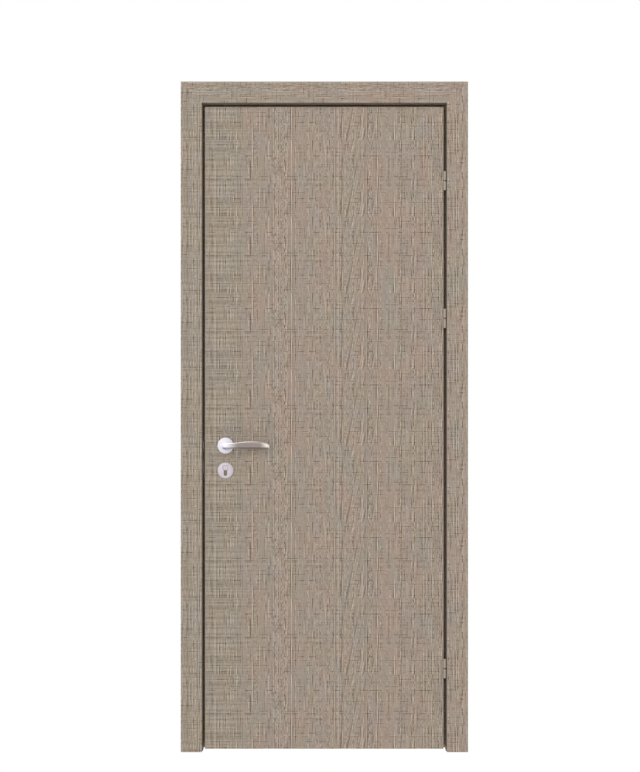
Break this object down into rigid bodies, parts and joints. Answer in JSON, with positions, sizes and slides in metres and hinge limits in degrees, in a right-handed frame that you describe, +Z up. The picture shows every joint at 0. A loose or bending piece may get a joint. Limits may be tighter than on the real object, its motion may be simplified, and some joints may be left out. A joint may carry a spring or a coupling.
{
  "type": "interior door",
  "caption": "Flush interior door leaf in oak-look laminate, hung on knuckle hinges in a wall lining with mitred casings, with lever handles on round roses and a cylinder lock.",
  "frame": {"origin": "on the wall face of the hinge jamb, at floor level and half way through the wall", "axes": "+X across the wall towards the hinge side, +Y through the wall from the casing with the hinge barrels to the back, +Z up"},
  "size_m": [0.9004, 0.1906, 2.1012],
  "materials": {
    "oak_laminate": "matt saw-cut oak laminate in grey taupe",
    "core_board": "raw board",
    "dark_seal": "matt dark brown",
    "satin_aluminium": "satin",
    "satin_steel": "satin",
    "lock_steel": "brushed",
    "satin_nickel": "satin nickel"
  },
  "bodies": {
    "frame": {"hinge_jamb": "oak_laminate", "latch_jamb": "oak_laminate", "head_jamb": "oak_laminate", "hinge_stop": "oak_laminate", "latch_stop": "oak_laminate", "head_stop": "oak_laminate", "front_hinge_casing": "oak_laminate", "front_latch_casing": "oak_laminate", "front_head_casing": "oak_laminate", "rear_hinge_casing": "oak_laminate", "rear_latch_casing": "oak_laminate", "rear_head_casing": "oak_laminate", "hinge_seal": "dark_seal", "latch_seal": "dark_seal", "head_seal": "dark_seal", "strike_plate": "lock_steel", "top_hinge_frame_plate": "satin_steel", "top_hinge_pin": "satin_steel", "middle_hinge_frame_plate": "satin_steel", "middle_hinge_pin": "satin_steel", "bottom_hinge_frame_plate": "satin_steel", "bottom_hinge_pin": "satin_steel"},
    "leaf": {"front_skin": "oak_laminate", "rear_skin": "oak_laminate", "hinge_edge_band": "oak_laminate", "latch_edge_band": "oak_laminate", "top_edge_band": "oak_laminate", "bottom_edge_band": "oak_laminate", "leaf_core": "core_board", "mortise_lock": "lock_steel", "latch_bolt": "lock_steel", "dead_bolt": "lock_steel", "lock_cylinder": "satin_nickel", "front_key_plug": "satin_nickel", "rear_key_plug": "satin_nickel", "front_rose": "satin_aluminium", "rear_rose": "satin_aluminium", "front_escutcheon": "satin_aluminium", "rear_escutcheon": "satin_aluminium", "top_hinge_door_plate": "satin_steel", "middle_hinge_door_plate": "satin_steel", "bottom_hinge_door_plate": "satin_steel"},
    "handle": {"front_lever": "satin_aluminium", "rear_lever": "satin_aluminium", "spindle": "lock_steel"}
  },
  "joints": [
    {"name": "door_swing", "type": "hinge", "parent": "frame", "child": "leaf", "pos_m": [-0.03375, -0.065, 0.2605], "axis": [0, 0, 1], "range_deg": [0, 110]},
    {"name": "lever_turn", "type": "hinge", "parent": "leaf", "child": "handle", "pos_m": [-0.7225, -0.04, 0.96], "axis": [0, 1, 0], "range_deg": [0, 40], "stiffness_Nm_per_rad": 1.5, "springref_deg": -28.65}
  ]
}
